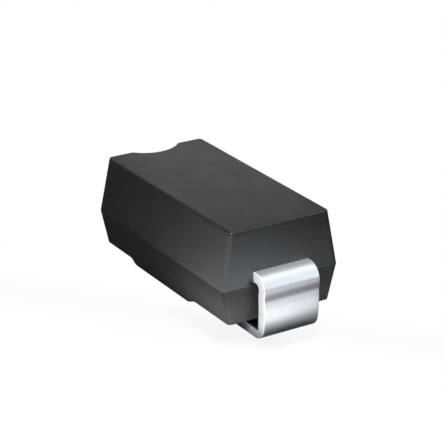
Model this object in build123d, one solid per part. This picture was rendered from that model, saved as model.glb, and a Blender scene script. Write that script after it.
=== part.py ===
from build123d import *
import math
import os

# A surface-mount TVS diode: a silicon die soldered between two folded leads, sealed in a moulded body.
# Millimetres. X runs along the body, with the notched cathode end at -X and the anode end at +X.
# Z = 0 is the solder plane, which the underside of both feet lies in.

# Moulded body, measured at the parting line
body_length = 4.60
body_width = 2.50
parting_height = 1.02         # the parting line above the solder plane
upper_height = 1.09           # from the parting line to the flat top
lower_height = 0.71           # from the parting line down to the recessed underside
end_draft = 3.3               # degrees, on both halves
upper_side_draft = 10.0       # degrees
lower_side_draft = 12.0       # degrees
corner_radius = 0.07          # upright corners
top_edge_radius = 0.035

# Middle pad of the underside, which stands between the two feet
pad_drop = 0.11               # below the recessed underside
pad_cathode_reach = 1.19      # full depth, from the middle of the body
pad_anode_reach = 0.80
pad_cathode_ramp = 0.13       # length of the step up to the recess
pad_anode_ramp = 0.30
pad_step_radius = 0.05

# Polarity notch in the top of the cathode end
notch_chord = 1.04
notch_depth = 0.24
notch_floor_cover = 0.12      # epoxy left between the notch floor and the cathode lead
notch_mouth_radius = 0.05

# Leads
lead_thickness = 0.20
lead_width = 1.20
lead_lift = 0.05              # the lead's underside above the parting line
lead_reach = 0.36             # outer face of the upright leg, beyond the body's end
top_bend_radius = 0.10        # inside radius where the lead turns down
foot_bend_radius = 0.07       # inside radius where it turns in under the body
foot_length = 1.10            # from the outer face of the leg to the foot's tip
lock_notch_radius = 0.16      # half-round bites in the strip, which the epoxy grips
lock_notch_inset = 0.42       # from the body's end to their middle

# Pads inside the body
pad_margin = 0.10             # cathode pad beyond the die, each side
clip_margin = 0.20            # anode pad beyond its contact boss, each side
pad_corner_radius = 0.12
joggle_run = 0.42             # length of the sloping part between a pad and the exit level
joggle_radius = 0.08          # inside radius
joggle_gap = 0.10             # from the die's edge to the start of the slope
contact_diameter = 0.84       # flat of the boss pressed in the anode pad
contact_height = 0.06
contact_taper = 25.0          # degrees

# Die and solder
die_size = 1.40
die_thickness = 0.28
die_bevel = 0.06              # etched slope round its upper face
solder_thickness = 0.05
solder_inset = 0.06           # lower layer inside the die's edge, each side
solder_disc_inset = 0.04      # upper layer inside the contact boss

# Heights that follow
body_top = parting_height + upper_height
recess_height = parting_height - lower_height
pad_height = recess_height - pad_drop
exit_middle = parting_height + lead_lift + lead_thickness / 2
stack_height = 2 * solder_thickness + die_thickness + contact_height + lead_thickness
cathode_pad_middle = exit_middle - stack_height / 2
anode_pad_middle = exit_middle + stack_height / 2
solder_bottom = cathode_pad_middle + lead_thickness / 2
die_bottom = solder_bottom + solder_thickness
die_top = die_bottom + die_thickness
contact_bottom = die_top + solder_thickness

# Places along the body that follow, as distances from its middle
body_end = body_length / 2
top_end = body_end - upper_height * math.tan(math.radians(end_draft))
leg_outer = body_end + lead_reach
leg_middle = leg_outer - lead_thickness / 2
foot_tip = leg_outer - foot_length
joggle_start = die_size / 2 + joggle_gap
lock_notch_middle = body_end - lock_notch_inset


def body_section(height, end_inset, side_inset):
    """Rounded rectangle of the body at a height, set in from the parting line."""
    outline = RectangleRounded(body_length - 2 * end_inset, body_width - 2 * side_inset, corner_radius)
    return Pos(0, 0, height) * outline


def drafted_half(height, side_draft):
    """One half of the body. A negative height is the lower half."""
    depth = abs(height)
    end_inset = depth * math.tan(math.radians(end_draft))
    side_inset = depth * math.tan(math.radians(side_draft))
    parting = body_section(parting_height, 0, 0)
    far_face = body_section(parting_height + height, end_inset, side_inset)
    return loft([parting, far_face], ruled=True)


def underside_recess(side, reach, ramp):
    """What the mould leaves out between the middle pad and one end of the body."""
    past_end = body_end + corner_radius
    below = pad_height - pad_drop
    profile = Polyline(
        (side * reach, below),
        (side * reach, pad_height),
        (side * (reach + ramp), recess_height),
        (side * past_end, recess_height),
        (side * past_end, below),
        close=True,
    )
    return extrude(Plane.XZ * make_face(profile), amount=body_width, both=True)


def polarity_notch():
    """Drafted scoop in the top of the cathode end, wider than it is deep."""
    radius = (notch_chord ** 2 / 4 + notch_depth ** 2) / (2 * notch_depth)
    floor = exit_middle + lead_thickness / 2 + notch_floor_cover
    middle = -top_end + notch_depth - radius
    circle = Pos(middle, 0, body_top) * Circle(radius)
    return extrude(circle, amount=floor - body_top, taper=end_draft)


def outer_body():
    """The moulded outside of the body, still solid inside."""
    body = drafted_half(upper_height, upper_side_draft)
    body += drafted_half(-(lower_height + pad_drop), lower_side_draft)
    body -= underside_recess(-1, pad_cathode_reach, pad_cathode_ramp)
    body -= underside_recess(1, pad_anode_reach, pad_anode_ramp)
    steps = [
        edge
        for edge in body.edges().filter_by(Axis.Y)
        if edge.center().Z < recess_height + pad_drop / 2 and abs(edge.center().X) < foot_tip
    ]
    body = fillet(steps, pad_step_radius)
    body -= polarity_notch()
    # The two upright edges where the notch runs out into the end wall
    mouths = [
        edge
        for edge in body.edges()
        if edge.center().X < -top_end + notch_depth / 2
        and abs(abs(edge.center().Y) - notch_chord / 2) < notch_mouth_radius
        and edge.bounding_box().size.Z > notch_depth
    ]
    body = fillet(mouths, notch_mouth_radius)
    top_face = body.faces().sort_by(Axis.Z)[-1]
    return fillet(top_face.edges(), top_edge_radius)


def lead_strip(pad_middle, pad_tip, width):
    """Strip folded along its route from the pad to the foot, on the +X side."""
    route = [
        (pad_tip, pad_middle),
        (joggle_start, pad_middle),
        (joggle_start + joggle_run, exit_middle),
        (leg_middle, exit_middle),
        (leg_middle, lead_thickness / 2),
        (foot_tip, lead_thickness / 2),
    ]
    half = lead_thickness / 2
    radii = [joggle_radius + half, joggle_radius + half, top_bend_radius + half, foot_bend_radius + half]
    middle_line = FilletPolyline(*route, radius=radii)
    side_view = trace(middle_line, lead_thickness)
    return extrude(Plane.XZ * side_view, amount=width / 2, both=True)


def strip_plan(pad_tip, pad_width):
    """Outline of the lead from above: a wide pad, then the narrower strip with its lock notches."""
    pad_end = joggle_start
    pad_outline = Pos((pad_tip + pad_end) / 2, 0) * RectangleRounded(
        pad_end - pad_tip, pad_width, pad_corner_radius
    )
    tail_start = joggle_start - pad_corner_radius
    tail = Pos((tail_start + leg_outer) / 2, 0) * Rectangle(leg_outer - tail_start, lead_width)
    plan = pad_outline + tail
    for side in (-1, 1):
        plan -= Pos(lock_notch_middle, side * lead_width / 2) * Circle(lock_notch_radius)
    return extrude(plan, amount=body_top)


def folded_lead(pad_middle, pad_tip, pad_width):
    strip = lead_strip(pad_middle, pad_tip, pad_width)
    plan = strip_plan(pad_tip, pad_width)
    # The foot lies under the lock notches, so only the part above it is cut to the plan.
    foot_cover = Box(foot_length, lead_width, lead_thickness + 2 * foot_bend_radius,
                     align=(Align.MAX, Align.CENTER, Align.MIN))
    return strip & (plan + Pos(leg_outer, 0, 0) * foot_cover)


def contact_boss():
    """Boss pressed down from the anode pad, and the dimple that it leaves on top."""
    circle = Pos(0, 0, contact_bottom) * Circle(contact_diameter / 2)
    boss = extrude(circle, amount=contact_height, taper=-contact_taper)
    dimple = Pos(0, 0, lead_thickness) * boss
    return boss, dimple


def anode_lead():
    pad_radius = contact_diameter / 2 + clip_margin
    lead = folded_lead(anode_pad_middle, -pad_radius, 2 * pad_radius)
    boss, dimple = contact_boss()
    return lead + boss - dimple


def cathode_lead():
    pad_half = die_size / 2 + pad_margin
    lead = folded_lead(cathode_pad_middle, -pad_half, 2 * pad_half)
    return Rot(0, 0, 180) * lead


def silicon_die():
    die = Pos(0, 0, die_bottom) * Box(die_size, die_size, die_thickness,
                                      align=(Align.CENTER, Align.CENTER, Align.MIN))
    upper_edges = die.faces().sort_by(Axis.Z)[-1].edges()
    return chamfer(upper_edges, die_bevel)


def lower_solder_layer():
    side = die_size - 2 * solder_inset
    return extrude(Pos(0, 0, solder_bottom) * RectangleRounded(side, side, pad_corner_radius),
                   amount=solder_thickness)


def upper_solder_layer():
    radius = contact_diameter / 2 - solder_disc_inset
    return extrude(Pos(0, 0, die_top) * Circle(radius), amount=solder_thickness)


parts = {
    "cathode_lead": cathode_lead(),
    "anode_lead": anode_lead(),
    "silicon_die": silicon_die(),
    "lower_solder_layer": lower_solder_layer(),
    "upper_solder_layer": upper_solder_layer(),
}
body = outer_body()
for inner in parts.values():
    body -= inner
parts["moulded_body"] = body

os.makedirs("parts", exist_ok=True)
for name, shape in parts.items():
    export_step(shape, f"parts/{name}.step")
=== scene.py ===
import math

import bmesh
import bpy
from mathutils import Matrix, Quaternion, Vector


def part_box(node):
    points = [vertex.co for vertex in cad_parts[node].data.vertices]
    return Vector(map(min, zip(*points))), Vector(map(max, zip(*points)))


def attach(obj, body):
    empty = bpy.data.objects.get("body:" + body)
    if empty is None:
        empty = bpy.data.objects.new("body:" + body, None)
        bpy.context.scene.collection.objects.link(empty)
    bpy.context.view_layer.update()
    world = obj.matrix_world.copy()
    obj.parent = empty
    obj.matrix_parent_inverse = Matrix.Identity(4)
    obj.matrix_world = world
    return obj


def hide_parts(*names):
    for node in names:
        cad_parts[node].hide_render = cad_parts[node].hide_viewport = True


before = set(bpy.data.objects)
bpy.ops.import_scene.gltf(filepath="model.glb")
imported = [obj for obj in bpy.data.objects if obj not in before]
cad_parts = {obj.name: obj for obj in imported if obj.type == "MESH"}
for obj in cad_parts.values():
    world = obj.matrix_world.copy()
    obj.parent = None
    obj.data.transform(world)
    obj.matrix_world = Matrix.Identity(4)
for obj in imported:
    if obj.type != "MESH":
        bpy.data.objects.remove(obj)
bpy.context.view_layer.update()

# Metres. X runs along the body, with the notched cathode end at -X and the anode end at +X.
# Z = 0 is the solder plane, which the underside of both feet and the floor lie in.
MM = 0.001
body_low, body_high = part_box("moulded_body")
anode_low, anode_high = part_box("anode_lead")
cathode_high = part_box("cathode_lead")[1]
die_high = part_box("silicon_die")[1]
lower_solder_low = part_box("lower_solder_layer")[0]
upper_solder_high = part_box("upper_solder_layer")[1]

# Moulded body: its levels, drafts and edges
PARTING = 1.02 * MM
LOWER_HEIGHT = 0.71 * MM              # from the parting line down to the recessed underside
RECESS = PARTING - LOWER_HEIGHT
END_DRAFT = math.tan(math.radians(3.3))
UPPER_SIDE_DRAFT = math.tan(math.radians(10.0))
LOWER_SIDE_DRAFT = math.tan(math.radians(12.0))
CORNER_RADIUS = 0.07 * MM
TOP_EDGE_RADIUS = 0.025 * MM
BOTTOM_EDGE_RADIUS = 0.020 * MM
CREST_EASE = 0.012 * MM               # how far from the parting line its crest starts to round off
CREST_SETBACK = 0.004 * MM            # on the line itself, the walls are set in as they are this far from it

# Middle pad of the underside
PAD_CATHODE_REACH = 1.19 * MM
PAD_ANODE_REACH = 0.80 * MM
PAD_CATHODE_RAMP = 0.13 * MM
PAD_ANODE_RAMP = 0.30 * MM
PAD_STEP_SOFTNESS = 0.03 * MM

# Leads
LEAD_THICKNESS = 0.20 * MM
LEAD_HALF_WIDTH = 0.60 * MM
LEAD_LIFT = 0.05 * MM                 # the lead's underside above the parting line
EXIT_MIDDLE = PARTING + LEAD_LIFT + LEAD_THICKNESS / 2
TOP_BEND_RADIUS = 0.10 * MM
FOOT_BEND_RADIUS = 0.07 * MM
FOOT_LENGTH = 1.10 * MM
STRIP_EDGE_RADIUS = 0.015 * MM
CREASE_HEIGHT = 0.86 * MM             # forming crease across the upright leg
CREASE_DEPTH = 0.014 * MM
SWELL_HEIGHT = 0.52 * MM
LEG_TUCK = 0.020 * MM                 # how far the leg's lower end leans back in
LOCK_NOTCH_RADIUS = 0.16 * MM
LOCK_NOTCH_INSET = 0.42 * MM          # from the body's end to the lock notches' middle

# Pads of the leads, inside the body
PAD_CORNER_RADIUS = 0.12 * MM
JOGGLE_RUN = 0.42 * MM
JOGGLE_RADIUS = 0.08 * MM
JOGGLE_GAP = 0.10 * MM                # from the die's edge to the start of the slope
CONTACT_RADIUS = 0.42 * MM
CONTACT_HEIGHT = 0.06 * MM
CONTACT_SLOPE = 0.03 * MM
pad_end = die_high.x + JOGGLE_GAP
anode_pad_middle = upper_solder_high.z + CONTACT_HEIGHT + LEAD_THICKNESS / 2
cathode_pad_middle = lower_solder_low.z - LEAD_THICKNESS / 2

# Polarity notch in the top of the cathode end
NOTCH_CHORD = 1.04 * MM
NOTCH_DEPTH = 0.24 * MM
NOTCH_RADIUS = (NOTCH_CHORD ** 2 / 4 + NOTCH_DEPTH ** 2) / (2 * NOTCH_DEPTH)
NOTCH_MOUTH = 0.018 * MM              # depth over which its mouth blends into the end wall
NOTCH_FLOOR_COVER = 0.12 * MM         # epoxy between the notch's floor and the lead
NOTCH_FLOOR_ROUND = 0.02 * MM
NOTCH_FLOOR_RISE = EXIT_MIDDLE + LEAD_THICKNESS / 2 + NOTCH_FLOOR_COVER - PARTING

# How finely the surfaces are divided
LONG_STEPS = 150
END_STEPS = 72
CORNER_STEPS = 8
WALL_STEPS = 10
UNDER_NOTCH_STEPS = 4
EDGE_STEPS = 5
FACE_BLEND = 0.15                     # share of a flat face over which its rows take on the shape of its end
WIDTH_STEPS = 24
STRIP_EDGE_STEPS = 3
ARC_STEP = math.radians(6)
STRIP_STEP = 0.04 * MM
WELD = 0.0005 * MM
SHARP_ANGLE = math.radians(40)

# Material slots of the meshes
TOP_SLOT = 0                          # the body's flat top
UPPER_WALL_SLOT = 1                   # its walls above the parting line
LOWER_SIDE_SLOT = 2                   # its sides below that line, and the underside
LOWER_END_SLOT = 3                    # its ends below that line
SHEARED_SLOT = 1                      # the strip's cut sides and ends
FACING = 0.99                         # a normal faces a direction when at least this much of it points there

# Finishes. A texture is its features per metre, its detail and, where the grain runs one way, its stretch.
WHITE = (1, 1, 1)
BLACK = (0, 0, 0)
NOISE_LOW = 0.3                       # nearly all of a noise lies between these two
NOISE_HIGH = 0.7
EPOXY_DARK = (0.0080, 0.0074, 0.0075)
EPOXY_PALE = (0.0118, 0.0110, 0.0111)
EPOXY_SHEEN = (0.96, 0.975, 1.0)
EPOXY_MOTTLE = (9000, 4)
EPOXY_POLISH = (2500, 3)
EPOXY_GRAIN = (26000, 3)
EPOXY_GRAIN_DEPTH = 0.004 * MM
EPOXY_GRAIN_STRENGTH = 0.5
# Lighter line along the parting line: flash, and a painted highlight along that edge.
FLASH_AND_HIGHLIGHT_COLOUR = (0.022, 0.022, 0.023)
PARTING_LINE_EDGE = 0.022 * MM               # from the parting line to the outside of the lighter line, which is flash and a painted highlight
PARTING_LINE_CORE = 0.008 * MM               # and to where it has its full colour
TIN_DARK = (0.90, 0.925, 0.95)
TIN_PALE = (0.95, 0.97, 0.99)
# colour of the painted shade bands on the leads
TIN_PAINTED_SHADE = (0.20, 0.21, 0.225)
TIN_MOTTLE = (3500, 3)
TIN_POLISH = (5000, 4, (0.15, 1, 0.15))
TIN_STREAKS = (9000, 4, (0.1, 1, 0.1))
TIN_STREAK_DEPTH = 0.002 * MM
TIN_STREAK_STRENGTH = 0.3
BEND_POLISH = 0.55                    # share of the roughness that the inside of the foot bend lacks
INNER_MOTTLE_DETAIL = 4
INNER_GRAIN_DETAIL = 3
INNER_GRAIN_DEPTH = 0.003 * MM
INNER_GRAIN_STRENGTH = 0.4

# Painted shade on the tin: dark bands that stand in for the dark reflections across the leg at its crease and
# round the foot bend, and for shade at the foot of the cut edges. Each pair is where a band has faded out and
# where it is full.
CREASE_SHADE_TOP = (0.24 * MM, 0.02 * MM)          # above the crease
CREASE_SHADE_EDGE = (-0.10 * MM, -0.01 * MM)       # below it, for the part of the band that ends sharply
CREASE_SHADE_FADE = (-0.28 * MM, -0.08 * MM)       # and for the part that ends softly
CREASE_SHADE_SHARP = 0.64                          # share of the part that ends sharply
BAND_SIDE_BLEND = 0.06 * MM
SOLE = (0.06 * MM, 0.16 * MM)                     # heights of the sole and of the bend above it
BEND_INSIDE = (0.16 * MM, 0.21 * MM)              # the foot bend's inside, in from the lead's outer end
BEND_TOP = (0.50 * MM, 0.30 * MM)                 # and its heights
BEND_BOTTOM = (0.15 * MM, 0.19 * MM)

# Floor. Three ramps bound a pool of light painted into its colour and glow, which gloss and bounce light see
# and the camera does not. Each has a way, and the two values that the dot product of that way with a place
# has where the ramp starts and ends.
FLOOR_HALF = 120 * MM
FLOOR_COLOUR = (0.9, 0.9, 0.9)
FLOOR_GLOW = 0.88                     # share of plain white in what the camera sees of the painted pool of light
FLOOR_GLOSS_GLOW = 0.15               # share of its own glow, the painted light of the pool, in what gloss sees of it
POOL_FAR = 0.02                      # what is left of the pool's painted light beyond its left and right lines
LEFT_WAY = (1, -1.13, 0)
LEFT_DARK = 0.8 * MM
LEFT_PALE = 3.5 * MM
FRONT_WAY = (1, 0, 0)
FRONT_DARK = 4.0 * MM
FRONT_PALE = 5.4 * MM
RIGHT_WAY = (1, 2, 0)
RIGHT_PALE = 8.2 * MM
RIGHT_DARK = 15.8 * MM
SHADE_REACH = 0.45 * MM               # shade round what touches the floor
SHADE_POWER = 5.0
SHADE_SAMPLES = 8

# Light and camera. The camera is fitted to the photograph's 444 pixel frame. Its angles are in degrees.
WORLD_LIGHT = 0.05
SKY_TINT = (0.90, 0.97, 1.0)
CAMERA_AZIMUTH = 57.72
CAMERA_ELEVATION = 22.68
CAMERA_ROLL = 0.36
CAMERA_DISTANCE = 34.29 * MM
CAMERA_TARGET = Vector((0.0, 0.17 * MM, 1.262 * MM))
CAMERA_LENS = 145.28
CAMERA_NEAR = 1 * MM
CAMERA_FAR = 1000 * MM


def smoothstep(value):
    """Smooth rise from 0 to 1 as the value goes from 0 to 1."""
    t = min(max(value, 0.0), 1.0)
    return t * t * (3 - 2 * t)


def bridge(bm, rings):
    """Quads between each ring of vertices and the next, in order."""
    faces = []
    for first, second in zip(rings, rings[1:]):
        for i in range(len(first)):
            k = (i + 1) % len(first)
            faces.append(bm.faces.new((first[i], first[k], second[k], second[i])))
    return faces


def finished_mesh(bm, name):
    """Mesh of a finished surface, shaded smooth between its sharp edges."""
    mesh = bpy.data.meshes.new(name)
    bm.to_mesh(mesh)
    bm.free()
    for polygon in mesh.polygons:
        polygon.use_smooth = True
    mesh.set_sharp_from_angle(angle=SHARP_ANGLE)
    return mesh


def new_piece(mesh, node):
    """Visible piece that stands for a node, named as its mesh is."""
    piece = bpy.data.objects.new(mesh.name, mesh)
    bpy.context.scene.collection.objects.link(piece)
    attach(piece, "root")
    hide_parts(node)


# Moulded body. A station is a place on its outline from above: its shares of the way out on X and on Y, and
# the two parts of the outline's normal.

def straight_stations(start, end, normal, steps):
    """Stations along a straight side, without its last one."""
    stations = []
    for i in range(steps):
        along = start[0] + (end[0] - start[0]) * i / steps
        across = start[1] + (end[1] - start[1]) * i / steps
        stations.append((along, across, *normal))
    return stations


def corner_stations(along, across, start_angle):
    """Stations round an upright corner, without its last one."""
    angles = [math.radians(start_angle + 90 * i / CORNER_STEPS) for i in range(CORNER_STEPS)]
    return [(along, across, math.cos(angle), math.sin(angle)) for angle in angles]


def outline_stations():
    """Stations round the whole body, from the near cathode corner towards the anode end."""
    return [
        *straight_stations((-1, -1), (1, -1), (0, -1), LONG_STEPS),
        *corner_stations(1, -1, -90),
        *straight_stations((1, -1), (1, 1), (1, 0), END_STEPS),
        *corner_stations(1, 1, 0),
        *straight_stations((1, 1), (-1, 1), (0, 1), LONG_STEPS),
        *corner_stations(-1, 1, 90),
        *straight_stations((-1, 1), (-1, -1), (-1, 0), END_STEPS),
        *corner_stations(-1, -1, 180),
    ]


def top_face(x):
    """Height of the flat top, which is the same all along the body."""
    return body_high.z


def underside(x):
    """Height of the underside at a place along the body."""
    if x > 0:
        reach, ramp = PAD_ANODE_REACH, PAD_ANODE_RAMP
    else:
        reach, ramp = PAD_CATHODE_REACH, PAD_CATHODE_RAMP
    past_pad = abs(x) - reach + PAD_STEP_SOFTNESS
    return body_low.z + (RECESS - body_low.z) * smoothstep(past_pad / (ramp + 2 * PAD_STEP_SOFTNESS))


def notch_shift(y):
    """How far the notch cuts into the cathode end at a place across it."""
    if abs(y) >= NOTCH_RADIUS:
        return 0.0
    depth = math.sqrt(NOTCH_RADIUS ** 2 - y ** 2) - (NOTCH_RADIUS - NOTCH_DEPTH)
    if depth <= -NOTCH_MOUTH:
        return 0.0
    if depth >= NOTCH_MOUTH:
        return depth
    return (depth + NOTCH_MOUTH) ** 2 / (4 * NOTCH_MOUTH)


def body_point(station, end_inset=0.0, side_inset=0.0, notch=0.0):
    """X and Y of a station on a level that is set in from the parting line.

    notch is the share of the notch's depth that is cut there.
    """
    along, across, normal_x, normal_y = station
    x = along * (body_high.x - end_inset - CORNER_RADIUS) + CORNER_RADIUS * normal_x
    y = across * (body_high.y - side_inset - CORNER_RADIUS) + CORNER_RADIUS * normal_y
    if normal_x < -FACING:
        x += notch * notch_shift(y)
    return x, y


def wall_loop(stations, rise, notch):
    """Loop on the walls at a height above or below the parting line, with the crest there eased."""
    side_draft = UPPER_SIDE_DRAFT if rise > 0 else LOWER_SIDE_DRAFT
    depth = abs(rise) + CREST_SETBACK * max(0.0, 1 - abs(rise) / CREST_EASE)
    places = [body_point(station, depth * END_DRAFT, depth * side_draft, notch) for station in stations]
    return [Vector((x, y, PARTING + rise)) for x, y in places]


def lower_wall_loop(stations, share):
    """Loop on the lower walls, at a share of the way down to where the bottom rounding starts."""
    rounding_height = BOTTOM_EDGE_RADIUS * (1 - math.sin(math.atan(LOWER_SIDE_DRAFT)))
    loop = []
    for station in stations:
        depth = share * (PARTING - underside(body_point(station)[0]) - rounding_height)
        x, y = body_point(station, depth * END_DRAFT, depth * LOWER_SIDE_DRAFT)
        loop.append(Vector((x, y, PARTING - depth)))
    return loop


def rounding(draft, centre, radius, turn):
    """Inset and depth on a rounding that starts where its own normal leans as the drafted wall does."""
    lean = math.atan(draft)
    angle = lean + (math.pi / 2 - lean) * turn
    inset = draft * (centre + radius * math.sin(lean)) + radius * (math.cos(lean) - math.cos(angle))
    return inset, centre + radius * math.sin(angle)


def rounded_loop(stations, turn, radius, face, side_draft, notch):
    """Loop on the rounding between the walls and a face. turn goes from 0 on the wall to 1 on the face.

    face gives the face's height at a place along the body.
    """
    loop = []
    for station in stations:
        height = face(body_point(station)[0])
        toward = 1 if height > PARTING else -1
        centre = abs(height - PARTING) - radius
        end_inset, end_depth = rounding(END_DRAFT, centre, radius, turn)
        side_inset, side_depth = rounding(side_draft, centre, radius, turn)
        end_share = station[2] ** 2
        depth = end_depth * end_share + side_depth * (1 - end_share)
        x, y = body_point(station, end_inset, side_inset, notch)
        loop.append(Vector((x, y, PARTING + toward * depth)))
    return loop


def body_loops(stations):
    """Loops of the body's skin, from the rim of the underside up to the rim of the top."""
    bottom_edge = [
        rounded_loop(stations, step / EDGE_STEPS, BOTTOM_EDGE_RADIUS, underside, LOWER_SIDE_DRAFT, 0)
        for step in range(EDGE_STEPS, 0, -1)
    ]
    lower_walls = [lower_wall_loop(stations, step / WALL_STEPS) for step in range(WALL_STEPS, 0, -1)]
    crest = [wall_loop(stations, rise, 0) for rise in (-CREST_EASE, 0.0, CREST_EASE)]
    under_notch = [
        wall_loop(stations, NOTCH_FLOOR_RISE * step / UNDER_NOTCH_STEPS, 0)
        for step in range(1, UNDER_NOTCH_STEPS)
    ]
    notch_floor = [
        wall_loop(stations, NOTCH_FLOOR_RISE - NOTCH_FLOOR_ROUND, 0),
        *(wall_loop(stations, NOTCH_FLOOR_RISE, step / EDGE_STEPS) for step in range(EDGE_STEPS + 1)),
        wall_loop(stations, NOTCH_FLOOR_RISE + NOTCH_FLOOR_ROUND, 1),
    ]
    notched_rise = body_high.z - PARTING - TOP_EDGE_RADIUS - NOTCH_FLOOR_RISE
    upper_walls = [
        wall_loop(stations, NOTCH_FLOOR_RISE + notched_rise * step / WALL_STEPS, 1)
        for step in range(1, WALL_STEPS)
    ]
    top_edge = [
        rounded_loop(stations, step / EDGE_STEPS, TOP_EDGE_RADIUS, top_face, UPPER_SIDE_DRAFT, 1)
        for step in range(EDGE_STEPS + 1)
    ]
    return bottom_edge + lower_walls + crest + under_notch + notch_floor + upper_walls + top_edge


def face_grid(loop):
    """Points of straight rows across the body, from one side of a loop to the other."""
    long_count = LONG_STEPS + CORNER_STEPS
    end_count = END_STEPS + CORNER_STEPS

    def border(first, count, step):
        return [loop[(first + step * i) % len(loop)] for i in range(count + 1)]

    start = -CORNER_STEPS // 2
    near = border(start, long_count, 1)
    right = border(start + long_count, end_count, 1)
    far = border(start + 2 * long_count + end_count, long_count, -1)
    left = border(start, end_count, -1)
    rows = []
    for i in range(long_count + 1):
        along = i / long_count
        pull_left = smoothstep(1 - along / FACE_BLEND)
        pull_right = smoothstep(1 - (1 - along) / FACE_BLEND)
        row = []
        for j in range(end_count + 1):
            across = j / end_count
            point = near[i].lerp(far[i], across)
            point += (left[j] - left[0].lerp(left[-1], across)) * pull_left
            point += (right[j] - right[0].lerp(right[-1], across)) * pull_right
            row.append(point)
        rows.append(row)
    return rows


def cover(bm, loop, faces_down):
    """Closes the body over a loop at its top or underside."""
    rows = [[bm.verts.new(point) for point in row] for row in face_grid(loop)]
    for row, after in zip(rows, rows[1:]):
        for j in range(len(row) - 1):
            quad = [row[j], after[j], after[j + 1], row[j + 1]]
            bm.faces.new(reversed(quad) if faces_down else quad)


def body_slot(face):
    """Material slot of a face of the body."""
    if face.calc_center_median().z < PARTING:
        across = max(abs(face.normal.y), abs(face.normal.z))
        return LOWER_END_SLOT if abs(face.normal.x) > across else LOWER_SIDE_SLOT
    return UPPER_WALL_SLOT if face.normal.z < FACING else TOP_SLOT


def body_mesh():
    """Outer surface of the moulded body."""
    loops = body_loops(outline_stations())
    bm = bmesh.new()
    bridge(bm, [[bm.verts.new(point) for point in loop] for loop in loops])
    cover(bm, loops[0], True)
    cover(bm, loops[-1], False)
    bmesh.ops.remove_doubles(bm, verts=bm.verts, dist=WELD)
    bmesh.ops.dissolve_degenerate(bm, edges=bm.edges, dist=WELD / 2)
    bmesh.ops.recalc_face_normals(bm, faces=bm.faces)
    for face in bm.faces:
        face.material_index = body_slot(face)
    return finished_mesh(bm, "body_moulding")


# Leads. Both are drawn as the anode lead lies. The cathode lead is then turned half round about Z.

def straight_run(start, end):
    """Points of a straight run of a route, without its first one."""
    pieces = max(1, round((end - start).length / STRIP_STEP))
    return [start.lerp(end, i / pieces) for i in range(1, pieces + 1)]


def bent_route(corners, radii):
    """Points of a route with its corners turned into arcs, on X and Z."""
    points = [corners[0]]
    for before, corner, after, radius in zip(corners, corners[1:], corners[2:], radii):
        arrive = (corner - before).normalized()
        leave = (after - corner).normalized()
        turn = math.atan2(arrive.x * leave.y - arrive.y * leave.x, arrive.dot(leave))
        start = corner - arrive * radius * math.tan(abs(turn) / 2)
        points += straight_run(points[-1], start)
        inward = Vector((-arrive.y, arrive.x)) * math.copysign(radius, turn)
        steps = max(2, round(abs(turn) / ARC_STEP))
        for i in range(1, steps + 1):
            points.append(start + inward - Matrix.Rotation(turn * i / steps, 2) @ inward)
    return points + straight_run(points[-1], corners[-1])


def leg_wave(height):
    """Shallow set of the upright leg, on X.

    The bend runs on a little past upright to a crease, and the leg swells below it.
    """
    bend_end = EXIT_MIDDLE - TOP_BEND_RADIUS - LEAD_THICKNESS / 2
    if height >= bend_end:
        return 0.0
    if height >= CREASE_HEIGHT:
        return -CREASE_DEPTH * ((bend_end - height) / (bend_end - CREASE_HEIGHT)) ** 2
    if height >= SWELL_HEIGHT:
        return -CREASE_DEPTH * ((height - SWELL_HEIGHT) / (CREASE_HEIGHT - SWELL_HEIGHT)) ** 2
    return -LEG_TUCK * smoothstep((SWELL_HEIGHT - height) / (SWELL_HEIGHT - LEAD_THICKNESS / 2))


def lead_route(pad_tip, pad_middle):
    """Middle line of a lead on X and Z, from the tip of its pad to the tip of its foot."""
    leg_middle = anode_high.x - LEAD_THICKNESS / 2
    foot_middle = LEAD_THICKNESS / 2
    corners = [
        Vector((pad_tip, pad_middle)),
        Vector((pad_end, pad_middle)),
        Vector((pad_end + JOGGLE_RUN, EXIT_MIDDLE)),
        Vector((leg_middle, EXIT_MIDDLE)),
        Vector((leg_middle, foot_middle)),
        Vector((anode_high.x - FOOT_LENGTH, foot_middle)),
    ]
    inside_radii = (JOGGLE_RADIUS, JOGGLE_RADIUS, TOP_BEND_RADIUS, FOOT_BEND_RADIUS)
    route = bent_route(corners, [radius + LEAD_THICKNESS / 2 for radius in inside_radii])
    for point in route:
        if point.x > body_high.x:
            point.x += leg_wave(point.y)
    return route


def inner_half_width(x, pad_tip, pad_half_width):
    """Half the strip's width inside the body: the pad, and past it the strip with its lock notches."""
    width = 0.0
    if x <= pad_end:
        from_end = max(0.0, min(x - pad_tip, pad_end - x))
        dip = max(0.0, PAD_CORNER_RADIUS - from_end)
        width = pad_half_width - PAD_CORNER_RADIUS + math.sqrt(PAD_CORNER_RADIUS ** 2 - dip ** 2)
    if x >= pad_end - PAD_CORNER_RADIUS:
        width = max(width, LEAD_HALF_WIDTH)
    lock = LOCK_NOTCH_RADIUS ** 2 - (x - (body_high.x - LOCK_NOTCH_INSET)) ** 2
    if lock > 0:
        width = min(width, LEAD_HALF_WIDTH - math.sqrt(lock))
    return width


def strip_section():
    """Places round the strip's section.

    Each is its shares of the way out across the strip and through it, and the two parts of its normal.
    """
    places = []
    for across, through, start_angle in ((1, -1, -90), (1, 1, 0), (-1, 1, 90), (-1, -1, 180)):
        for i in range(STRIP_EDGE_STEPS + 1):
            angle = math.radians(start_angle + 90 * i / STRIP_EDGE_STEPS)
            places.append((across, through, math.cos(angle), math.sin(angle)))
        if across == through:
            for i in range(1, WIDTH_STEPS):
                places.append((across * (1 - 2 * i / WIDTH_STEPS), through, 0, through))
    return places


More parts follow.
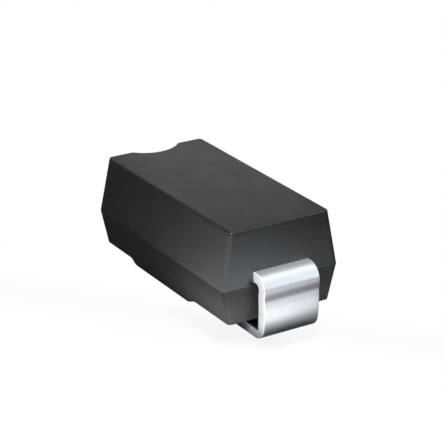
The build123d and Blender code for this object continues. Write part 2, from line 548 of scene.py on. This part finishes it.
def strip_ring(point, direction, half_width, shrink):
    """The strip's section at a point of its route, shrunk by that much all round."""
    normal = Vector((-direction.y, direction.x))
    flat_half_width = half_width - STRIP_EDGE_RADIUS
    flat_half_thickness = LEAD_THICKNESS / 2 - STRIP_EDGE_RADIUS
    edge_radius = STRIP_EDGE_RADIUS - shrink
    ring = []
    for across, through, normal_across, normal_through in strip_section():
        y = across * flat_half_width + edge_radius * normal_across
        offset = normal * (through * flat_half_thickness + edge_radius * normal_through)
        ring.append(Vector((point.x + offset.x, y, point.y + offset.y)))
    return ring


def lead_rings(route, pad_tip, pad_half_width):
    """The strip's section at each point of its route, with rounded edges at the pad's and the foot's tip."""
    quarter_turn = [math.pi / 2 * step / STRIP_EDGE_STEPS for step in range(STRIP_EDGE_STEPS + 1)]
    tip_edge = [
        (STRIP_EDGE_RADIUS * (1 - math.sin(angle)), STRIP_EDGE_RADIUS * (1 - math.cos(angle)))
        for angle in quarter_turn
    ]
    last = len(route) - 1
    rings = []
    for i, point in enumerate(route):
        direction = (route[min(i + 1, last)] - route[max(i - 1, 0)]).normalized()
        if i == 0:
            places = [(point + direction * inward, shrink) for inward, shrink in reversed(tip_edge)]
        elif i == last:
            places = [(point - direction * inward, shrink) for inward, shrink in tip_edge]
        else:
            places = [(point, 0.0)]
        for place, shrink in places:
            half_width = LEAD_HALF_WIDTH
            if i < last / 2 and place.x <= body_high.x:
                half_width = inner_half_width(place.x, pad_tip, pad_half_width)
            rings.append(strip_ring(place, direction, half_width, shrink))
    return rings


def press_boss(rings):
    """Presses the contact boss down into the anode pad."""
    for ring in rings:
        for place in ring:
            inside = CONTACT_RADIUS + CONTACT_SLOPE - math.hypot(place.x, place.y)
            place.z -= CONTACT_HEIGHT * smoothstep(inside / CONTACT_SLOPE)


def strip_mesh(name, rings, side):
    """Mesh of a lead from its rings. side is 1 at the anode end and -1 at the cathode end."""
    bm = bmesh.new()
    rings = [[bm.verts.new((side * place.x, side * place.y, place.z)) for place in ring] for ring in rings]
    section = strip_section()
    for number, face in enumerate(bridge(bm, rings)):
        across = section[number % len(section)][0]
        next_across = section[(number + 1) % len(section)][0]
        if across == next_across:
            face.material_index = SHEARED_SLOT
    for tip in (reversed(rings[0]), rings[-1]):
        bm.faces.new(tip).material_index = SHEARED_SLOT
    bmesh.ops.remove_doubles(bm, verts=bm.verts, dist=WELD)
    bmesh.ops.recalc_face_normals(bm, faces=bm.faces)
    return finished_mesh(bm, name)


def anode_mesh():
    """Anode lead, with the contact boss pressed down from its pad."""
    pad_half_width = anode_high.y
    rings = lead_rings(lead_route(anode_low.x, anode_pad_middle), anode_low.x, pad_half_width)
    press_boss(rings)
    return strip_mesh("anode_lead_strip", rings, 1)


def cathode_mesh():
    """Cathode lead, whose flat pad is under the die."""
    pad_tip = -cathode_high.x
    pad_half_width = cathode_high.y
    rings = lead_rings(lead_route(pad_tip, cathode_pad_middle), pad_tip, pad_half_width)
    return strip_mesh("cathode_lead_strip", rings, -1)


# Materials

def new_material(name):
    """Material with its node tree and its shader."""
    material = bpy.data.materials.new(name)
    material.use_nodes = True
    tree = material.node_tree
    return material, tree, tree.nodes["Principled BSDF"]


def feed(tree, socket, value):
    """Gives a socket its value: the link from another socket, a number or a colour."""
    if isinstance(value, bpy.types.NodeSocket):
        tree.links.new(value, socket)
    elif isinstance(value, (int, float)):
        socket.default_value = value
    else:
        socket.default_value = (*value, 1)


def object_place(tree):
    """Place in the object's own coordinates."""
    return tree.nodes.new("ShaderNodeTexCoord").outputs["Object"]


def place_parts(tree):
    """X, Y and Z of the place on the object."""
    parts = tree.nodes.new("ShaderNodeSeparateXYZ")
    feed(tree, parts.inputs["Vector"], object_place(tree))
    return parts.outputs


def noise(tree, scale, detail, stretch=(1, 1, 1)):
    """Noise in the object's own coordinates, with scale in features per metre."""
    mapping = tree.nodes.new("ShaderNodeMapping")
    feed(tree, mapping.inputs["Vector"], object_place(tree))
    mapping.inputs["Scale"].default_value = stretch
    texture = tree.nodes.new("ShaderNodeTexNoise")
    feed(tree, texture.inputs["Vector"], mapping.outputs["Vector"])
    feed(tree, texture.inputs["Scale"], scale)
    feed(tree, texture.inputs["Detail"], detail)
    return texture.outputs["Fac"]


def map_range(tree, value, start, end, low, high, change):
    """Change from low to high as a value goes from start to end."""
    ranger = tree.nodes.new("ShaderNodeMapRange")
    ranger.interpolation_type = change
    feed(tree, ranger.inputs["Value"], value)
    feed(tree, ranger.inputs["From Min"], start)
    feed(tree, ranger.inputs["From Max"], end)
    feed(tree, ranger.inputs["To Min"], low)
    feed(tree, ranger.inputs["To Max"], high)
    return ranger.outputs["Result"]


def band(tree, value, start, end, low=0.0, high=1.0):
    """Smooth change from low to high as a value goes from start to end."""
    return map_range(tree, value, start, end, low, high, "SMOOTHSTEP")


def spread(tree, texture, low=0.0, high=1.0):
    """Number that a noise texture varies between low and high."""
    return map_range(tree, noise(tree, *texture), NOISE_LOW, NOISE_HIGH, low, high, "LINEAR")


def math_node(tree, operation, *values):
    """Math node on sockets or numbers."""
    node = tree.nodes.new("ShaderNodeMath")
    node.operation = operation
    for slot, value in zip(node.inputs, values):
        feed(tree, slot, value)
    return node.outputs["Value"]


def mix(tree, factor, first, second):
    """Mix of two colours or colour sockets."""
    mixer = tree.nodes.new("ShaderNodeMix")
    mixer.data_type = "RGBA"
    feed(tree, mixer.inputs["Factor"], factor)
    feed(tree, mixer.inputs["A"], first)
    feed(tree, mixer.inputs["B"], second)
    return mixer.outputs["Result"]


def mottle(tree, texture, dark, pale, tone=1.0):
    """Colour that varies from dark to pale, both times a tone."""
    return mix(tree, spread(tree, texture), [part * tone for part in dark], [part * tone for part in pale])


def bump(tree, shader, texture, depth, strength):
    """Fine relief from a noise texture."""
    relief = tree.nodes.new("ShaderNodeBump")
    feed(tree, relief.inputs["Height"], noise(tree, *texture))
    feed(tree, relief.inputs["Distance"], depth)
    feed(tree, relief.inputs["Strength"], strength)
    feed(tree, shader.inputs["Normal"], relief.outputs["Normal"])


def epoxy_material(name, tone, roughness, ior, gloss_low, gloss_high):
    """Black moulding epoxy, with a faint lighter line where the mould halves met: flash, and a painted
    highlight along that edge.

    gloss_low and gloss_high are each a height and the gloss there: the mould's polish changes along the draw.
    """
    material, tree, shader = new_material(name)
    height = place_parts(tree)["Z"]
    from_parting = math_node(tree, "ABSOLUTE", math_node(tree, "SUBTRACT", height, PARTING))
    flash_and_highlight = band(tree, from_parting, PARTING_LINE_EDGE, PARTING_LINE_CORE)
    colour = mottle(tree, EPOXY_MOTTLE, EPOXY_DARK, EPOXY_PALE, tone)
    gloss = band(tree, height, gloss_low[0], gloss_high[0], gloss_low[1], gloss_high[1])
    feed(tree, shader.inputs["Base Color"], mix(tree, flash_and_highlight, colour, FLASH_AND_HIGHLIGHT_COLOUR))
    feed(tree, shader.inputs["Roughness"], spread(tree, EPOXY_POLISH, *roughness))
    feed(tree, shader.inputs["IOR"], ior)
    feed(tree, shader.inputs["Specular IOR Level"], gloss)
    feed(tree, shader.inputs["Specular Tint"], EPOXY_SHEEN)
    bump(tree, shader, EPOXY_GRAIN, EPOXY_GRAIN_DEPTH, EPOXY_GRAIN_STRENGTH)
    return material


def painted_shade_bands(tree, height, inward, crease_dull, foot_top, foot_low, foot_dull, sole_share, reach):
    """Painted shade: dark bands on the outer side of the leg, at its crease and round the foot bend, that
    stand in for dark reflections there.

    inward is how far in from the lead's outer end a place is, and reach is how far in the bands go.
    sole_share is what is left of them on the sole.
    """
    from_crease = math_node(tree, "SUBTRACT", height, CREASE_HEIGHT)
    sharp = band(tree, from_crease, *CREASE_SHADE_EDGE, 0.0, CREASE_SHADE_SHARP)
    soft = band(tree, from_crease, *CREASE_SHADE_FADE, 0.0, 1 - CREASE_SHADE_SHARP)
    above = band(tree, from_crease, *CREASE_SHADE_TOP, 0.0, crease_dull)
    crease = math_node(tree, "MULTIPLY", above, math_node(tree, "ADD", sharp, soft))
    foot = band(tree, height, foot_top, foot_low, 0.0, foot_dull)
    off_sole = band(tree, height, *SOLE, sole_share, 1.0)
    shade_bands = math_node(tree, "ADD", crease, math_node(tree, "MULTIPLY", foot, off_sole))
    outside = band(tree, inward, reach, reach - BAND_SIDE_BLEND)
    return math_node(tree, "MULTIPLY", outside, shade_bands)


def bend_inside(tree, height, inward):
    """Where the inside of the foot bend has kept its first polish."""
    inside = band(tree, inward, *BEND_INSIDE)
    below = band(tree, height, *BEND_TOP)
    above = band(tree, height, *BEND_BOTTOM)
    return math_node(tree, "MULTIPLY", inside, math_node(tree, "MULTIPLY", below, above))


def tin_material(name, tone, roughness, metallic, **shade_bands):
    """Tin plate of a tone, where 1 is bright, with the numbers of its painted shade bands."""
    material, tree, shader = new_material(name)
    place = place_parts(tree)
    outward = math_node(tree, "ABSOLUTE", place["X"])
    inward = math_node(tree, "SUBTRACT", anode_high.x, outward)
    # painted shade: dark bands where the leg would show dark reflections, and down the foot of the cut edges
    dull = painted_shade_bands(tree, place["Z"], inward, **shade_bands)
    polished = bend_inside(tree, place["Z"], inward)
    colour = mottle(tree, TIN_MOTTLE, TIN_DARK, TIN_PALE, tone)
    rough = spread(tree, TIN_POLISH, *roughness)
    rough_share = math_node(tree, "SUBTRACT", 1.0, math_node(tree, "MULTIPLY", polished, BEND_POLISH))
    feed(tree, shader.inputs["Base Color"], mix(tree, dull, colour, TIN_PAINTED_SHADE))
    feed(tree, shader.inputs["Metallic"], math_node(tree, "MAXIMUM", polished, metallic))
    feed(tree, shader.inputs["Roughness"], math_node(tree, "MULTIPLY", rough, rough_share))
    bump(tree, shader, TIN_STREAKS, TIN_STREAK_DEPTH, TIN_STREAK_STRENGTH)
    return material


def inner_material(name, dark, pale, metallic, roughness, scale):
    """Finish of a piece inside the body, with scale in features per metre."""
    material, tree, shader = new_material(name)
    feed(tree, shader.inputs["Base Color"], mottle(tree, (scale, INNER_MOTTLE_DETAIL), dark, pale))
    feed(tree, shader.inputs["Metallic"], metallic)
    feed(tree, shader.inputs["Roughness"], spread(tree, (scale / 2, INNER_GRAIN_DETAIL), *roughness))
    bump(tree, shader, (scale * 2, INNER_GRAIN_DETAIL), INNER_GRAIN_DEPTH, INNER_GRAIN_STRENGTH)
    return material


def body_materials():
    """The epoxy's finishes, in the order of the body's slots. Their tones are painted light: the lower sides
    and ends are painted about twice as light as the top, and the upper walls a little lighter than the top.
    """
    return [
        epoxy_material("moulded_epoxy_top", tone=1.0, roughness=(0.35, 0.41), ior=1.50,
                       gloss_low=(1.10 * MM, 1.0), gloss_high=(2.05 * MM, 0.80)),
        epoxy_material("moulded_epoxy_walls", tone=1.15, roughness=(0.28, 0.34), ior=1.63,
                       gloss_low=(1.02 * MM, 1.0), gloss_high=(2.10 * MM, 0.64)),
        epoxy_material("moulded_epoxy_lower_sides", tone=2.15, roughness=(0.36, 0.42), ior=1.62,
                       gloss_low=(0.35 * MM, 0.64), gloss_high=(1.02 * MM, 0.16)),
        epoxy_material("moulded_epoxy_lower_ends", tone=2.4, roughness=(0.54, 0.60), ior=1.70,
                       gloss_low=(0.35 * MM, 0.94), gloss_high=(1.02 * MM, 0.33)),
    ]


def lead_materials():
    """The tin plate's finishes, in the order of the strip's slots."""
    return [
        # The crease and foot bands on the plate are painted dark reflections.
        tin_material("bright_tin_plate", tone=1.0, roughness=(0.27, 0.34), metallic=0.71,
                     crease_dull=0.90, foot_top=0.50 * MM, foot_low=0.25 * MM, foot_dull=0.85,
                     sole_share=0.0, reach=0.22 * MM),
        # The cut edges are the same tin painted darker, tone 0.88, and their foot band runs the whole cut
        # edge: painted shade.
        tin_material("sheared_tin_edge", tone=0.88, roughness=(0.45, 0.55), metallic=0.2,
                     crease_dull=0.0, foot_top=0.36 * MM, foot_low=0.08 * MM, foot_dull=0.72,
                     sole_share=1.0, reach=4 * MM),
    ]


def dress(mesh, materials):
    """Gives a mesh its materials, one for each slot."""
    for material in materials:
        mesh.materials.append(material)


def build_leads():
    """Both leads, with the same finishes."""
    finishes = lead_materials()
    for mesh, node in ((anode_mesh(), "anode_lead"), (cathode_mesh(), "cathode_lead")):
        dress(mesh, finishes)
        new_piece(mesh, node)


def build_body():
    mesh = body_mesh()
    dress(mesh, body_materials())
    new_piece(mesh, "moulded_body")


def dress_inner_pieces():
    silicon = inner_material("polished_silicon", (0.10, 0.11, 0.13), (0.16, 0.17, 0.20), metallic=0.4,
                             roughness=(0.15, 0.25), scale=8000)
    solder = inner_material("dull_solder", (0.42, 0.42, 0.43), (0.55, 0.55, 0.56), metallic=1.0,
                            roughness=(0.35, 0.5), scale=15000)
    finishes = {"silicon_die": silicon, "lower_solder_layer": solder, "upper_solder_layer": solder}
    for node, material in finishes.items():
        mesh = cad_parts[node].data
        mesh.materials.clear()
        dress(mesh, [material])


# Stage, light and camera

def ramp(tree, way, start, end, low, high):
    """Smooth change from low to high along a way over the floor."""
    along = tree.nodes.new("ShaderNodeVectorMath")
    along.operation = "DOT_PRODUCT"
    feed(tree, along.inputs[0], object_place(tree))
    along.inputs[1].default_value = way
    return band(tree, along.outputs["Value"], start, end, low, high)


def painted_light_pool(tree):
    """Painted pool of light on the floor: 1 in front of the anode end, and next to nothing far off."""
    left = ramp(tree, LEFT_WAY, LEFT_DARK, LEFT_PALE, POOL_FAR, 1.0)
    front = ramp(tree, FRONT_WAY, FRONT_DARK, FRONT_PALE, 0.0, 1.0)
    right = ramp(tree, RIGHT_WAY, RIGHT_PALE, RIGHT_DARK, 1.0, POOL_FAR)
    return math_node(tree, "MULTIPLY", math_node(tree, "MAXIMUM", left, front), right)


def contact_shade(tree):
    """1 on the open floor, and less close to what stands on it."""
    shade = tree.nodes.new("ShaderNodeAmbientOcclusion")
    shade.samples = SHADE_SAMPLES
    feed(tree, shade.inputs["Distance"], SHADE_REACH)
    return math_node(tree, "POWER", shade.outputs["AO"], SHADE_POWER)


def floor_material():
    """Floor that is white to the camera, with the object's shadow, partly real and partly painted round what
    stands on it.

    Other rays see a painted pool of light in front of the anode end, darkened by painted shadow close to the
    object, and gloss sees it glow there.
    """
    material, tree, shader = new_material("pale_floor")
    tree.nodes.remove(shader)
    light_pool = painted_light_pool(tree)
    shaded = math_node(tree, "MULTIPLY", light_pool, contact_shade(tree))
    rays = tree.nodes.new("ShaderNodeLightPath").outputs
    diffuse = tree.nodes.new("ShaderNodeBsdfDiffuse")
    feed(tree, diffuse.inputs["Color"], mix(tree, shaded, BLACK, FLOOR_COLOUR))
    # for gloss the floor glows with the painted pool of light
    glow = tree.nodes.new("ShaderNodeEmission")
    feed(tree, glow.inputs["Color"], WHITE)
    feed(tree, glow.inputs["Strength"], math_node(tree, "MAXIMUM", rays["Is Camera Ray"], shaded))
    white_share = math_node(tree, "SUBTRACT", 1.0, math_node(tree, "MULTIPLY", light_pool, 1 - FLOOR_GLOW))
    camera_share = math_node(tree, "MULTIPLY", rays["Is Camera Ray"], white_share)
    glossy_share = math_node(tree, "MULTIPLY", rays["Is Glossy Ray"], FLOOR_GLOSS_GLOW)
    surface = tree.nodes.new("ShaderNodeMixShader")
    feed(tree, surface.inputs["Fac"], math_node(tree, "ADD", camera_share, glossy_share))
    feed(tree, surface.inputs[1], diffuse.outputs["BSDF"])
    feed(tree, surface.inputs[2], glow.outputs["Emission"])
    feed(tree, tree.nodes["Material Output"].inputs["Surface"], surface.outputs["Shader"])
    return material


def build_floor():
    mesh = bpy.data.meshes.new("floor")
    corners = [(x * FLOOR_HALF, y * FLOOR_HALF, 0) for x, y in ((-1, -1), (1, -1), (1, 1), (-1, 1))]
    mesh.from_pydata(corners, [], [(0, 1, 2, 3)])
    dress(mesh, [floor_material()])
    floor = bpy.data.objects.new("floor", mesh)
    bpy.context.scene.collection.objects.link(floor)


def build_world():
    """World that is white to the camera and gives a little light all round."""
    world = bpy.data.worlds.new("studio")
    bpy.context.scene.world = world
    world.use_nodes = True
    tree = world.node_tree
    background = tree.nodes["Background"]
    to_camera = tree.nodes.new("ShaderNodeLightPath").outputs["Is Camera Ray"]
    strength = map_range(tree, to_camera, 0.0, 1.0, WORLD_LIGHT, 1.0, "LINEAR")
    feed(tree, background.inputs["Color"], WHITE)
    feed(tree, background.inputs["Strength"], strength)


def way_to(azimuth, elevation):
    """Unit vector from the object at two angles in degrees. Azimuth 0 is at -Y, and 90 is at +X."""
    turn = math.radians(azimuth)
    rise = math.radians(elevation)
    return Vector((math.sin(turn) * math.cos(rise), -math.cos(turn) * math.cos(rise), math.sin(rise)))


def set_facing(thing, target, way, distance, roll=0.0):
    """Puts a lamp or camera at a distance from a target, facing it."""
    thing.location = target + way * distance
    thing.rotation_mode = "QUATERNION"
    thing.rotation_quaternion = (-way).to_track_quat("-Z", "Y") @ Quaternion((0, 0, 1), math.radians(roll))
    bpy.context.scene.collection.objects.link(thing)


def area_light(name, azimuth, elevation, distance, size, power, aim=(0, 0, 1), colour=WHITE):
    """Soft rectangular lamp. distance, size and aim are in millimetres."""
    lamp = bpy.data.lights.new(name, "AREA")
    lamp.shape = "RECTANGLE"
    lamp.size = size[0] * MM
    lamp.size_y = size[1] * MM
    lamp.energy = power
    lamp.color = colour
    holder = bpy.data.objects.new(name, lamp)
    holder.visible_camera = False
    set_facing(holder, Vector(aim) * MM, way_to(azimuth, elevation), distance * MM)


def build_lamps():
    area_light("key", azimuth=40, elevation=42, distance=40, size=(34, 16), power=0.0200)
    area_light("overhead", azimuth=180, elevation=78, distance=30, size=(32, 32), power=0.0010)
    area_light("side", azimuth=138, elevation=38, distance=30, size=(32, 46), power=0.0033, colour=SKY_TINT)
    area_light("low", azimuth=121, elevation=4, distance=30, size=(17, 10), power=0.00022, colour=SKY_TINT)
    area_light("edge", azimuth=-76, elevation=34, distance=12, size=(5, 5), power=0.00005)
    area_light("back", azimuth=-122, elevation=24, distance=9, size=(5.6, 3.4), power=0.0000425,
               aim=(-1.4, 1.0, 2))
    area_light("far_side", azimuth=184, elevation=11, distance=30, size=(28, 12), power=0.00085,
               colour=SKY_TINT)
    area_light("far_end", azimuth=274, elevation=11, distance=30, size=(22, 12), power=0.00070,
               colour=SKY_TINT)


def build_camera():
    lens = bpy.data.cameras.new("camera")
    lens.lens = CAMERA_LENS
    lens.clip_start = CAMERA_NEAR
    lens.clip_end = CAMERA_FAR
    camera = bpy.data.objects.new("camera", lens)
    set_facing(camera, CAMERA_TARGET, way_to(CAMERA_AZIMUTH, CAMERA_ELEVATION), CAMERA_DISTANCE, CAMERA_ROLL)
    bpy.context.scene.camera = camera


build_leads()
build_body()
dress_inner_pieces()
build_floor()
build_world()
build_lamps()
build_camera()
bpy.context.scene.view_settings.view_transform = "Standard"
